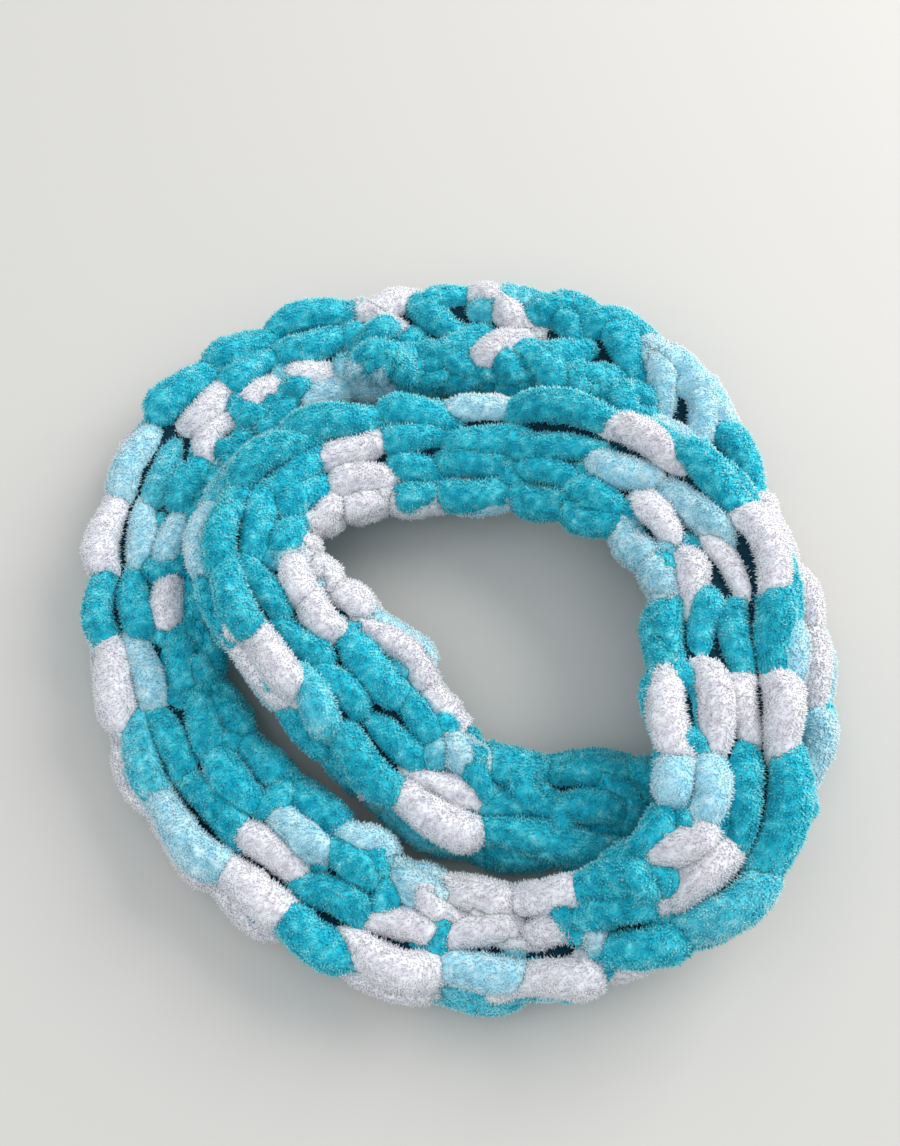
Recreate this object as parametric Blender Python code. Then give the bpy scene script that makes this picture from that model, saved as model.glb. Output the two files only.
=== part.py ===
"""Infinity scarf of thick chenille knit, laid on a table in two turns.

One knitted band, closed into a loop by a joining seam, runs twice round a ring. It is
folded in three across its width, like a letter, so every section is one Z-shaped wall of
cloth: a top layer, a middle layer and a bottom layer. The first turn lies over the second
on the right side. Sizes are in millimetres until a mesh is made. +Z is up.
"""

import math
from typing import NamedTuple

import bmesh
import bpy
import numpy as np

MM = 0.001

# The knitted cloth and its letter fold.
CLOTH = 12.6  # thickness of the cloth
LAYER_GAP = 1.2  # air between two folded layers
LAYER = CLOTH + LAYER_GAP  # from the middle of one layer to the middle of the next
FOLDED = 3 * CLOTH + 2 * LAYER_GAP  # through all three layers, before they settle
CROWN = 0.30  # share of its depth that the folded band loses towards its long edges
TOP_EDGE_INSET = 3.0  # the top layer's free edge stops this short of the outer side
BOTTOM_EDGE_INSET = 5.0  # the bottom layer's free edge stops this short of the inner side
CREASE_SPREAD = 0.24  # half the width of a crease, as a share of half the band

# How finely the surface is faceted.
SPAN = 22.0  # along the route, from one section to the next
TOP_POINTS = 11
HIDDEN_POINTS = 4
BEND_POINTS = 5
BEND_INSIDE_POINTS = 1
EDGE_POINTS = 3
SMOOTH_BELOW = 50.0  # degrees between two faces that are shaded as one surface

# The pieces.
SEAM_GAP = 0.3  # between neighbouring pieces
SEAM_INSET = 4.5  # the joining seam lies this far below the cloth beside it
RING_CENTRE = (-3.6, 18.3)  # from the ring's centre to the middle of the laid scarf

TURQUOISE = (0.035, 0.42, 0.50, 1.0)
PALE_AQUA = (0.36, 0.70, 0.74, 1.0)


class Row(NamedTuple):
    """One section of the folded band, at a place on its route."""

    turn: float  # degrees travelled, clockwise from the left side of the ring
    radius: float  # from the ring's centre to the middle of the band
    height: float  # from the table to the middle of the band
    width: float  # across the band
    depth: float  # through its three layers
    roll: float  # degrees; a positive roll lifts the outer side
    crease_at: float  # where its lengthwise crease runs: -1 inner edge, 1 outer edge
    crease: float  # how deep the crease is


#    turn  radius height width depth roll crease_at crease
ROUTE = (
    Row(5, 77, 41, 70, 41, 20, 0.10, 7),
    Row(16, 92, 42, 68, 41, 20, 0.10, 6),
    Row(27, 103, 41, 67, 41, 20, 0.10, 5),
    Row(38, 107, 38, 66, 41, 19, 0.10, 4),
    Row(50, 105, 35, 66, 41, 16, -0.10, 3),
    Row(66, 97, 32, 66, 42, 12, -0.20, 3),
    Row(88, 92, 29, 66, 42, 10, -0.25, 4),
    Row(112, 96, 36, 66, 42, 15, -0.25, 4),
    Row(134, 104, 46, 67, 40, 18, -0.10, 3),
    Row(154, 112, 52, 69, 39, 16, 0.05, 5),
    Row(170, 114, 54, 71, 39, 12, 0.10, 5),
    Row(186, 112, 55, 73, 39, 8, 0.15, 6),
    Row(199, 115, 57, 73, 39, 2, 0.20, 7),
    Row(211, 128, 56, 71, 39, -5, 0.20, 7),
    Row(222, 140, 53, 67, 39, -10, 0.20, 6),
    Row(234, 139, 48, 61, 40, -13, 0.10, 4),
    Row(248, 135, 33, 55, 42, -9, 0.00, 3),
    Row(262, 131, 18, 57, 42, 0, -0.10, 4),
    Row(278, 127, 18, 61, 42, 0, 0.00, 4),
    Row(298, 121, 18, 66, 42, 0, 0.10, 4),
    Row(316, 122, 17.5, 70, 41, 1, 0.20, 5),
    Row(334, 128, 17, 71, 40, 2, 0.30, 4),
    Row(352, 136, 17, 68, 40, 3, 0.25, 4),
    Row(370, 147, 17, 67, 40, 4, 0.20, 3),
    Row(386, 159, 17, 67, 40, 3, 0.10, 3),
    Row(402, 169, 17, 67, 40, 2, 0.00, 2),
    Row(415, 171, 17.5, 67, 41, 0, -0.10, 2),
    Row(428, 165, 17.5, 66, 41, 0, -0.10, 2),
    Row(440, 161, 17, 66, 40, 0, 0.00, 2),
    Row(456, 162, 17.5, 67, 41, 0, 0.00, 3),
    Row(474, 163, 17.5, 67, 41, 0, 0.00, 3),
    Row(488, 158, 17, 66, 40, 0, 0.10, 3),
    Row(503, 146, 16.5, 65, 38, 0, 0.20, 4),
    Row(520, 139, 15, 64, 35, 0, 0.20, 3),
    Row(537, 140, 14, 64, 33, 0, 0.00, 1),
    Row(552, 143, 14, 64, 33, 0, 0.00, 0),
    Row(565, 142, 14, 64, 33, 0, 0.00, 0),
    Row(577, 125, 14, 62, 33, 0, 0.00, 0),
    Row(588, 100, 14, 60, 33, 0, 0.00, 0),
    Row(600, 85, 15, 56, 35, 0, 0.00, 2),
    Row(615, 75, 16.5, 57, 39, 0, 0.00, 3),
    Row(633, 67, 18, 60, 42, 2, 0.10, 4),
    Row(651, 57, 20, 66, 42, 5, 0.10, 5),
    Row(680, 49, 27, 73, 42, 10, 0.10, 7),
    Row(708, 58, 35, 75, 41, 16, 0.10, 8),
)
WHOLE_ROUTE = 720.0


class Stretch(NamedTuple):
    """A piece of the band, between two places on its route."""

    name: str
    start: float
    end: float
    inset: float  # how far its surface lies below the cloth beside it
    colour: tuple


STRETCHES = (
    Stretch("inner_top", 36, 110, 0, TURQUOISE),
    Stretch("upper_right", 110, 196, 0, PALE_AQUA),
    Stretch("lower_right", 196, 250, 0, TURQUOISE),
    Stretch("bottom", 250, 304, 0, PALE_AQUA),
    Stretch("outer_left", 304, 376, 0, TURQUOISE),
    Stretch("outer_top_left", 376, 432, 0, TURQUOISE),
    Stretch("joining_seam", 432, 435.5, SEAM_INSET, PALE_AQUA),
    Stretch("outer_top", 435.5, 500, 0, TURQUOISE),
    Stretch("outer_right", 500, 552, 0, PALE_AQUA),
    Stretch("under_crossing", 552, 604, 0, TURQUOISE),
    Stretch("inner_bottom", 604, 684, 0, TURQUOISE),
    Stretch("inner_left", 684, 756, 0, TURQUOISE),
)


def route_row(turn):
    """The row at any place on the route, on a smooth closed curve through ROUTE."""
    turns = np.array([row.turn for row in ROUTE])
    values = np.array([row[1:] for row in ROUTE])
    at = (turn - turns[0]) % WHOLE_ROUTE + turns[0]
    here = np.searchsorted(turns, at, side="right") - 1
    near = np.arange(here - 1, here + 3)
    knots = turns[near % len(ROUTE)] + WHOLE_ROUTE * (near // len(ROUTE))
    points = values[near % len(ROUTE)]
    step = knots[2] - knots[1]
    leaving = (points[2] - points[0]) / (knots[2] - knots[0]) * step
    arriving = (points[3] - points[1]) / (knots[3] - knots[1]) * step
    t = (at - knots[1]) / step
    mixed = (
        (2 * t**3 - 3 * t**2 + 1) * points[1]
        + (t**3 - 2 * t**2 + t) * leaving
        + (3 * t**2 - 2 * t**3) * points[2]
        + (t**3 - t**2) * arriving
    )
    return Row(turn, *mixed)


def plan_point(turn):
    """Where the middle of the band is, seen from above."""
    radius, angle = route_row(turn).radius, math.radians(turn)
    return np.array([-radius * math.cos(angle), radius * math.sin(angle)]) - RING_CENTRE


def plan_direction(turn, reach=1.0):
    """The way the band runs there, seen from above, as a unit vector."""
    along = plan_point(turn + reach) - plan_point(turn - reach)
    return along / np.linalg.norm(along)


def evenly_spaced(start, end, spacing):
    """Turns from start to end, about one spacing apart along the route."""
    fine = np.linspace(start, end, 200)
    steps = np.diff([plan_point(turn) for turn in fine], axis=0)
    travelled = np.concatenate([[0.0], np.cumsum(np.linalg.norm(steps, axis=1))])
    count = max(1, round(travelled[-1] / spacing)) + 1
    return np.interp(np.linspace(0, travelled[-1], count), travelled, fine)


def level(start, end, height, count):
    """Evenly spaced points along a level line, both ends included."""
    across = np.linspace(start, end, count)
    return np.column_stack([across, np.full(count, height)])


def arc(centre, radius, start, end, count):
    """Points inside an arc, in degrees, with both of its ends left out."""
    angles = np.radians(np.linspace(start, end, count + 2)[1:-1])
    turned = np.column_stack([np.cos(angles), np.sin(angles)])
    return np.array(centre) + radius * turned


def folded_outline(width):
    """The outline of the cloth folded in three, outer side at +, anticlockwise."""
    half, thick = width / 2, CLOTH / 2
    bend_outer, bend_inner = (LAYER + CLOTH) / 2, (LAYER - CLOTH) / 2
    bend = half - bend_outer
    top_edge = half - TOP_EDGE_INSET - thick
    bottom_edge = -half + BOTTOM_EDGE_INSET + thick
    parts = (
        level(top_edge, -bend, LAYER + thick, TOP_POINTS),
        arc((-bend, LAYER / 2), bend_outer, 90, 270, BEND_POINTS),
        level(-bend, bend, -thick, HIDDEN_POINTS),
        arc((bend, -LAYER / 2), bend_inner, 90, -90, BEND_INSIDE_POINTS),
        level(bend, bottom_edge, -LAYER + thick, HIDDEN_POINTS),
        arc((bottom_edge, -LAYER), thick, 90, 270, EDGE_POINTS),
        level(bottom_edge, bend, -LAYER - thick, HIDDEN_POINTS),
        arc((bend, -LAYER / 2), bend_outer, -90, 90, BEND_POINTS),
        level(bend, -bend, thick, HIDDEN_POINTS),
        arc((-bend, LAYER / 2), bend_inner, 270, 90, BEND_INSIDE_POINTS),
        level(-bend, top_edge, LAYER - thick, HIDDEN_POINTS),
        arc((top_edge, LAYER), thick, -90, 90, EDGE_POINTS),
    )
    return np.concatenate(parts)


def settled(outline, row, inset):
    """The outline as it lies: inset, crowned, creased and rolled about the middle."""
    half = row.width / 2
    across = outline[:, 0] * (1 - inset / half)
    up = outline[:, 1] * (row.depth - 2 * inset) / FOLDED
    share = across / half
    up = up * (1 - CROWN * share**2)
    trough = np.exp(-(((share - row.crease_at) / CREASE_SPREAD) ** 2))
    up = up - row.crease * trough * (0.5 + up / row.depth)
    roll = math.radians(row.roll)
    turned_across = across * math.cos(roll) - up * math.sin(roll)
    turned_up = across * math.sin(roll) + up * math.cos(roll)
    return turned_across, turned_up


def section_points(turn, shift, inset):
    """The section at a place on the route, moved along it by shift, in millimetres."""
    row = route_row(turn)
    across, up = settled(folded_outline(row.width), row, inset)
    along = plan_direction(turn)
    outward = np.array([-along[1], along[0]])
    plan = plan_point(turn) + along * shift + across[:, None] * outward
    height = np.maximum(row.height + up, 0.0)
    return np.column_stack([plan, height])


def loft(name, sections):
    """A closed mesh through the sections, with a flat cap at each end."""
    mesh = bpy.data.meshes.new(name)
    shape = bmesh.new()
    rings = [[shape.verts.new(point * MM) for point in section] for section in sections]
    count = len(rings[0])
    for ring, following in zip(rings, rings[1:]):
        for i in range(count):
            j = (i + 1) % count
            shape.faces.new((ring[i], ring[j], following[j], following[i]))
    shape.faces.new(reversed(rings[0]))
    shape.faces.new(rings[-1])
    bmesh.ops.recalc_face_normals(shape, faces=shape.faces)
    shape.to_mesh(mesh)
    shape.free()
    mesh.shade_smooth()
    mesh.set_sharp_from_angle(angle=math.radians(SMOOTH_BELOW))
    return mesh


def cloth_material(name, colour):
    """The matt, velvety finish of one piece."""
    material = bpy.data.materials.new(name)
    material.use_nodes = True
    shader = material.node_tree.nodes["Principled BSDF"]
    shader.inputs["Base Color"].default_value = colour
    shader.inputs["Roughness"].default_value = 0.95
    shader.inputs["Metallic"].default_value = 0.0
    return material


def make_stretch(stretch, collection):
    """One stretch of the band as an object, half a seam gap short at each end."""
    turns = evenly_spaced(stretch.start, stretch.end, SPAN)
    spans = len(turns) - 1
    shifts = np.zeros(spans + 1)
    shifts[0], shifts[-1] = SEAM_GAP / 2, -SEAM_GAP / 2
    sections = [
        section_points(turn, shift, stretch.inset) for turn, shift in zip(turns, shifts)
    ]
    mesh = loft(stretch.name, sections)
    mesh.materials.append(cloth_material(stretch.name + "_knit", stretch.colour))
    made = bpy.data.objects.new(stretch.name, mesh)
    collection.objects.link(made)
    return made


def main():
    """Clears the scene and builds the scarf."""
    for old in list(bpy.data.objects):
        bpy.data.objects.remove(old, do_unlink=True)
    collection = bpy.data.collections.new("infinity_scarf")
    bpy.context.scene.collection.children.link(collection)
    for stretch in STRETCHES:
        make_stretch(stretch, collection)


main()
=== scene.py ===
"""The looks of a thick chenille-knit infinity scarf, laid double in a ring.

The yarn is about as thick as a thumb, and dyed in turns turquoise, pale aqua and white. It
is knitted in big plain stitches. Each stretch of the band has three pieces: a thin backing,
which is the sheet of cloth folded in three, the yarn that is knitted on it, stitch by
stitch, and the short pile that stands out of the yarn. The band follows the same route as
the solids in the frame. Route, fold and stitches are worked out in millimetres, and meshes
are in metres.
"""

import logging
import math
from dataclasses import dataclass
from enum import Enum

import bpy
import numpy as np
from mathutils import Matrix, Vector
from mathutils.bvhtree import BVHTree


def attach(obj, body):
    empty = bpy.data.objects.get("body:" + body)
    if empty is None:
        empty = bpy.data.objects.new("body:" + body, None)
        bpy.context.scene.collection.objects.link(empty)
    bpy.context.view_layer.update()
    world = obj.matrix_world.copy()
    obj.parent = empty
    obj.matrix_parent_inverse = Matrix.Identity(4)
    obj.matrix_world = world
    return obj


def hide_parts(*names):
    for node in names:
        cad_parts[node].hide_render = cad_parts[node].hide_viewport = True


MM = 0.001
WHOLE_ROUTE = 720.0

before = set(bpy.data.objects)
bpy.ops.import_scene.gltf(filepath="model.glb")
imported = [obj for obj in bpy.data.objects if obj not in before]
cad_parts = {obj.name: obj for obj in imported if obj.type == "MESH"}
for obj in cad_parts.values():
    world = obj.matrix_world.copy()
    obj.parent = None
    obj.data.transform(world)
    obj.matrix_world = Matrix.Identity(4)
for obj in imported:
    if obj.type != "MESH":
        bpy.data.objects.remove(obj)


class Tone(Enum):
    """The shades that follow each other along the yarn, as linear colours."""

    TURQUOISE = (0.036, 0.55, 0.67)
    AQUA = (0.13, 0.65, 0.76)
    PALE = (0.50, 0.78, 0.87)
    WHITE = (0.86, 0.84, 0.88)


class Side(Enum):
    """Which of the two faces of the folded band a run of stitches covers."""

    UPPER = 1
    UNDER = -1


@dataclass(frozen=True)
class Section:
    """One section of the folded band, at a place on its route.

    Attributes:
        turn: Degrees travelled, clockwise from the left side of the ring.
        radius: From the ring's centre to the middle of the band.
        height: From the table to the middle of the band.
        width: Across the band.
        depth: Through its three layers.
        roll: Degrees; a positive roll lifts the outer side.
        crease_at: Where the lengthwise crease runs: -1 inner edge, 1 outer edge.
        crease: How deep the crease is.
    """

    turn: float
    radius: float
    height: float
    width: float
    depth: float
    roll: float
    crease_at: float
    crease: float


#           turn radius height width depth roll crease_at crease
ROUTE_SECTIONS = (
    Section(5, 77, 41, 70, 41, 20, 0.10, 7),
    Section(16, 92, 42, 68, 41, 20, 0.10, 6),
    Section(27, 103, 41, 67, 41, 20, 0.10, 5),
    Section(38, 107, 38, 66, 41, 19, 0.10, 4),
    Section(50, 105, 35, 66, 41, 16, -0.10, 3),
    Section(66, 97, 32, 66, 42, 12, -0.20, 3),
    Section(88, 92, 29, 66, 42, 10, -0.25, 4),
    Section(112, 96, 36, 66, 42, 15, -0.25, 4),
    Section(134, 104, 46, 67, 40, 18, -0.10, 3),
    Section(154, 112, 52, 69, 39, 16, 0.05, 5),
    Section(170, 114, 54, 71, 39, 12, 0.10, 5),
    Section(186, 112, 55, 73, 39, 8, 0.15, 6),
    Section(199, 115, 57, 73, 39, 2, 0.20, 7),
    Section(211, 128, 56, 71, 39, -5, 0.20, 7),
    Section(222, 140, 53, 67, 39, -10, 0.20, 6),
    Section(234, 139, 48, 61, 40, -13, 0.10, 4),
    Section(248, 135, 33, 55, 42, -9, 0.00, 3),
    Section(262, 131, 18, 57, 42, 0, -0.10, 4),
    Section(278, 127, 18, 61, 42, 0, 0.00, 4),
    Section(298, 121, 18, 66, 42, 0, 0.10, 4),
    Section(316, 122, 17.5, 70, 41, 1, 0.20, 5),
    Section(334, 128, 17, 71, 40, 2, 0.30, 4),
    Section(352, 136, 17, 68, 40, 3, 0.25, 4),
    Section(370, 147, 17, 67, 40, 4, 0.20, 3),
    Section(386, 159, 17, 67, 40, 3, 0.10, 3),
    Section(402, 169, 17, 67, 40, 2, 0.00, 2),
    Section(415, 171, 17.5, 67, 41, 0, -0.10, 2),
    Section(428, 165, 17.5, 66, 41, 0, -0.10, 2),
    Section(440, 161, 17, 66, 40, 0, 0.00, 2),
    Section(456, 162, 17.5, 67, 41, 0, 0.00, 3),
    Section(474, 163, 17.5, 67, 41, 0, 0.00, 3),
    Section(488, 158, 17, 66, 40, 0, 0.10, 3),
    Section(503, 146, 16.5, 65, 38, 0, 0.20, 4),
    Section(520, 139, 15, 64, 35, 0, 0.20, 3),
    Section(537, 140, 14, 64, 33, 0, 0.00, 1),
    Section(552, 143, 14, 64, 33, 0, 0.00, 0),
    Section(565, 142, 14, 64, 33, 0, 0.00, 0),
    Section(577, 125, 14, 62, 33, 0, 0.00, 0),
    Section(588, 100, 14, 60, 33, 0, 0.00, 0),
    Section(600, 85, 15, 56, 35, 0, 0.00, 2),
    Section(615, 75, 16.5, 57, 39, 0, 0.00, 3),
    Section(633, 67, 18, 60, 42, 2, 0.10, 4),
    Section(651, 57, 20, 66, 42, 5, 0.10, 5),
    Section(680, 49, 27, 73, 42, 10, 0.10, 7),
    Section(708, 58, 35, 75, 41, 16, 0.10, 8),
)


class Route:
    """The middle of the band: one closed line that runs twice round the ring."""

    ring_centre = np.array([-3.6, 18.3])
    fine_step = 0.25

    def __init__(self, sections: tuple[Section, ...]) -> None:
        """Reads the sections and measures the line.

        Args:
            sections: The band's sections, in the order of their turns.
        """
        self.turns = np.array([section.turn for section in sections])
        names = ("radius", "height", "width", "depth", "roll", "crease_at", "crease")
        self.values = np.array([[getattr(row, name) for name in names] for row in sections])
        self.fine_turns = np.arange(0.0, WHOLE_ROUTE + self.fine_step, self.fine_step)
        fine = np.column_stack([self.plan(self.fine_turns), self.at(self.fine_turns)[:, 1]])
        steps = np.linalg.norm(np.diff(fine, axis=0), axis=1)
        self.fine_distances = np.concatenate([[0.0], np.cumsum(steps)])

    @property
    def length(self) -> float:
        """The length of the whole loop."""
        return float(self.fine_distances[-1])

    def at(self, turns: np.ndarray) -> np.ndarray:
        """Every value of the section at each turn, on a smooth curve through the rows.

        Args:
            turns: Degrees along the route.

        Returns:
            One row for each turn: radius, height, width, depth, roll, crease_at, crease.
        """
        count = len(self.turns)
        wrapped = (turns - self.turns[0]) % WHOLE_ROUTE + self.turns[0]
        here = np.searchsorted(self.turns, wrapped, side="right") - 1
        near = here[:, None] + np.arange(-1, 3)
        knots = self.turns[near % count] + WHOLE_ROUTE * (near // count)
        points = self.values[near % count]
        step = (knots[:, 2] - knots[:, 1])[:, None]
        leaving = (points[:, 2] - points[:, 0]) / (knots[:, 2] - knots[:, 0])[:, None] * step
        arriving = (points[:, 3] - points[:, 1]) / (knots[:, 3] - knots[:, 1])[:, None] * step
        t = (wrapped - knots[:, 1])[:, None] / step
        return (
            (2 * t**3 - 3 * t**2 + 1) * points[:, 1]
            + (t**3 - 2 * t**2 + t) * leaving
            + (3 * t**2 - 2 * t**3) * points[:, 2]
            + (t**3 - t**2) * arriving
        )

    def plan(self, turns: np.ndarray) -> np.ndarray:
        """Where the middle of the band is at each turn, seen from above."""
        radius, angle = self.at(turns)[:, 0], np.radians(turns)
        ring = np.column_stack([-radius * np.cos(angle), radius * np.sin(angle)])
        return ring - self.ring_centre

    def along(self, turns: np.ndarray) -> np.ndarray:
        """The way the band runs at each turn, as unit vectors seen from above."""
        way = self.plan(turns + 1.0) - self.plan(turns - 1.0)
        return way / np.linalg.norm(way, axis=1)[:, None]

    def turn_at(self, distances: np.ndarray) -> np.ndarray:
        """The turns at given distances along the loop."""
        laps, rest = np.divmod(distances, self.length)
        return np.interp(rest, self.fine_distances, self.fine_turns) + laps * WHOLE_ROUTE

    def distance_at(self, turns: np.ndarray) -> np.ndarray:
        """The distances along the loop at given turns."""
        laps, rest = np.divmod(turns, WHOLE_ROUTE)
        return np.interp(rest, self.fine_turns, self.fine_distances) + laps * self.length


@dataclass(frozen=True)
class LetterFold:
    """The cloth folded in three across its width, like a letter.

    A place on the cloth is given by run, the distance across it from the top layer's free
    edge, and by rise, the distance from the middle of its thickness towards the face that
    is on top of the top layer.

    Attributes:
        route: The line that the band follows.
        cloth: Thickness of the cloth.
        gap: Air between two layers.
        crown: Share of its depth that the folded band loses towards its long edges.
        crown_end: How far from the middle that goes on, where 1 is the long edge.
        top_inset: How far the top layer's free edge stops short of the outer side.
        bottom_inset: How far the bottom layer's free edge stops short of the inner side.
        crease_spread: Half the width of a crease, as a share of half the band.
        tightest: The least radius that a bend may have.
    """

    route: Route
    cloth: float = 12.6
    gap: float = 1.2
    crown: float = 0.30
    crown_end: float = 1.15
    top_inset: float = 3.0
    bottom_inset: float = 5.0
    crease_spread: float = 0.24
    tightest: float = 1.0

    @property
    def layer(self) -> float:
        """From the middle of one layer to the middle of the next."""
        return self.cloth + self.gap

    @property
    def folded(self) -> float:
        """Through all three layers, before they settle."""
        return 3 * self.cloth + 2 * self.gap

    def runs(self, width: np.ndarray) -> tuple[np.ndarray, ...]:
        """Where each part of the fold ends, as distances across the cloth.

        Args:
            width: Widths of the folded band.

        Returns:
            The ends of the top layer, inner bend, middle, outer bend and bottom layer.
        """
        half = width / 2
        bend = half - (self.layer + self.cloth) / 2
        round_bend = math.pi * self.layer / 2
        top = half - self.top_inset - self.cloth / 2 + bend
        bottom = half - self.bottom_inset - self.cloth / 2 + bend
        inner = top + round_bend
        middle = inner + 2 * bend
        outer = middle + round_bend
        return top, inner, middle, outer, outer + bottom

    def unrolled(self, run: np.ndarray, rise: np.ndarray, width: np.ndarray) -> np.ndarray:
        """Places in the fold before it settles: across the band, and up.

        Args:
            run: Distances across the cloth.
            rise: Distances from the middle of the cloth.
            width: Widths of the folded band.

        Returns:
            One row for each place.
        """
        top, inner, middle, outer, _ = self.runs(width)
        half_layer = self.layer / 2
        bend = width / 2 - (self.layer + self.cloth) / 2
        start = width / 2 - self.top_inset - self.cloth / 2
        inner_angle = np.pi / 2 + (run - top) / half_layer
        outer_angle = np.pi / 2 - (run - middle) / half_layer
        wide = np.maximum(half_layer + rise, self.tightest)
        narrow = np.maximum(half_layer - rise, self.tightest)
        parts = [run < top, run < inner, run < middle, run < outer]
        across = np.select(
            parts,
            [
                start - run,
                -bend + wide * np.cos(inner_angle),
                -bend + run - inner,
                bend + narrow * np.cos(outer_angle),
            ],
            bend - (run - outer),
        )
        up = np.select(
            parts,
            [
                self.layer + rise,
                half_layer + wide * np.sin(inner_angle),
                -rise,
                -half_layer + narrow * np.sin(outer_angle),
            ],
            -self.layer + rise,
        )
        return np.column_stack([across, up])

    def place(self, distance: np.ndarray, run: np.ndarray, rise: np.ndarray) -> np.ndarray:
        """Places on the laid band, in millimetres.

        Args:
            distance: Distances along the loop.
            run: Distances across the cloth.
            rise: Distances from the middle of the cloth.

        Returns:
            One point for each place.
        """
        turns = self.route.turn_at(distance)
        radius, height, width, depth, roll, crease_at, crease = self.route.at(turns).T
        across, up = self.unrolled(run, rise, width).T
        share = across / (width / 2)
        crowned = np.clip(share, -self.crown_end, self.crown_end) ** 2
        up = up * depth / self.folded * (1 - self.crown * crowned)
        trough = np.exp(-(((share - crease_at) / self.crease_spread) ** 2))
        up = up - crease * trough * (0.5 + up / depth)
        lean = np.radians(roll)
        outward = across * np.cos(lean) - up * np.sin(lean)
        lifted = across * np.sin(lean) + up * np.cos(lean)
        way = self.route.along(turns)
        aside = np.column_stack([-way[:, 1], way[:, 0]])
        plan = self.route.plan(turns) + outward[:, None] * aside
        return np.column_stack([plan, height + lifted])


@dataclass(frozen=True)
class Patch:
    """A group of stitch legs that has another tone than the turquoise ground.

    Attributes:
        start: The turn from which courses have these legs.
        end: The turn up to which they do.
        first_leg: The leg nearest the outer edge: 0 to 4 lie on top, 5 to 9 underneath,
            and 10 round the inner bend.
        last_leg: The leg nearest the inner edge.
        tone: The tone of the legs.
    """

    start: float
    end: float
    first_leg: int
    last_leg: int
    tone: Tone


PATCHES = (
    #     start end legs  tone
    Patch(38, 52, 3, 4, Tone.WHITE),
    Patch(38, 52, 5, 5, Tone.AQUA),
    Patch(56, 70, 1, 4, Tone.WHITE),
    Patch(38, 88, 10, 10, Tone.WHITE),
    Patch(75, 88, 4, 4, Tone.WHITE),
    Patch(94, 106, 10, 10, Tone.PALE),
    Patch(94, 106, 0, 0, Tone.PALE),
    Patch(94, 106, 4, 4, Tone.PALE),
    Patch(94, 106, 5, 5, Tone.WHITE),
    Patch(130, 144, 0, 0, Tone.WHITE),
    Patch(130, 144, 1, 1, Tone.PALE),
    Patch(148, 160, 1, 1, Tone.PALE),
    Patch(148, 160, 2, 2, Tone.WHITE),
    Patch(148, 160, 3, 3, Tone.PALE),
    Patch(165, 177, 0, 2, Tone.WHITE),
    Patch(165, 177, 3, 4, Tone.PALE),
    Patch(165, 177, 9, 9, Tone.WHITE),
    Patch(182, 194, 5, 5, Tone.PALE),
    Patch(198, 210, 0, 3, Tone.WHITE),
    Patch(212, 222, 2, 3, Tone.PALE),
    Patch(226, 236, 0, 0, Tone.AQUA),
    Patch(226, 236, 1, 2, Tone.WHITE),
    Patch(240, 248, 5, 5, Tone.WHITE),
    Patch(252, 262, 0, 4, Tone.WHITE),
    Patch(252, 262, 5, 5, Tone.PALE),
    Patch(264, 274, 0, 0, Tone.PALE),
    Patch(264, 274, 1, 4, Tone.WHITE),
    Patch(264, 274, 5, 5, Tone.AQUA),
    Patch(278, 288, 0, 1, Tone.WHITE),
    Patch(278, 288, 2, 3, Tone.PALE),
    Patch(278, 288, 5, 6, Tone.WHITE),
    Patch(292, 302, 3, 3, Tone.PALE),
    Patch(306, 318, 0, 1, Tone.WHITE),
    Patch(306, 318, 2, 2, Tone.PALE),
    Patch(306, 362, 5, 5, Tone.WHITE),
    Patch(322, 334, 0, 0, Tone.PALE),
    Patch(336, 348, 0, 0, Tone.AQUA),
    Patch(350, 362, 0, 0, Tone.WHITE),
    Patch(350, 362, 1, 1, Tone.PALE),
    Patch(364, 375, 2, 2, Tone.WHITE),
    Patch(364, 375, 5, 5, Tone.PALE),
    Patch(377, 387, 0, 0, Tone.WHITE),
    Patch(377, 387, 1, 2, Tone.PALE),
    Patch(377, 398, 5, 5, Tone.WHITE),
    Patch(389, 398, 0, 0, Tone.PALE),
    Patch(389, 398, 1, 1, Tone.AQUA),
    Patch(400, 409, 1, 2, Tone.WHITE),
    Patch(411, 431, 2, 2, Tone.WHITE),
    Patch(422, 431, 3, 4, Tone.PALE),
    Patch(430, 436, 3, 4, Tone.PALE),
    Patch(436, 444, 0, 1, Tone.WHITE),
    Patch(436, 444, 5, 5, Tone.WHITE),
    Patch(455, 463, 0, 0, Tone.AQUA),
    Patch(455, 463, 1, 2, Tone.WHITE),
    Patch(482, 490, 0, 1, Tone.PALE),
    Patch(482, 490, 5, 5, Tone.PALE),
    Patch(491, 499, 0, 2, Tone.PALE),
    Patch(491, 538, 5, 5, Tone.WHITE),
    Patch(514, 551, 0, 0, Tone.WHITE),
    Patch(527, 551, 1, 1, Tone.PALE),
    Patch(540, 551, 5, 5, Tone.PALE),
    Patch(553, 563, 0, 0, Tone.PALE),
    Patch(553, 563, 5, 5, Tone.AQUA),
    Patch(565, 576, 3, 4, Tone.WHITE),
    Patch(608, 620, 9, 9, Tone.WHITE),
    Patch(632, 645, 0, 1, Tone.WHITE),
    Patch(632, 645, 2, 2, Tone.PALE),
    Patch(632, 645, 5, 6, Tone.AQUA),
    Patch(660, 674, 3, 3, Tone.WHITE),
    Patch(660, 674, 4, 4, Tone.PALE),
    Patch(692, 706, 0, 0, Tone.AQUA),
    Patch(692, 706, 3, 3, Tone.WHITE),
    Patch(692, 706, 4, 4, Tone.PALE),
    Patch(712, 726, 0, 0, Tone.WHITE),
    Patch(712, 741, 2, 4, Tone.WHITE),
    Patch(712, 726, 5, 5, Tone.WHITE),
    Patch(712, 726, 6, 6, Tone.PALE),
    Patch(742, 754, 3, 4, Tone.WHITE),
    Patch(742, 754, 5, 6, Tone.PALE),
)


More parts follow.
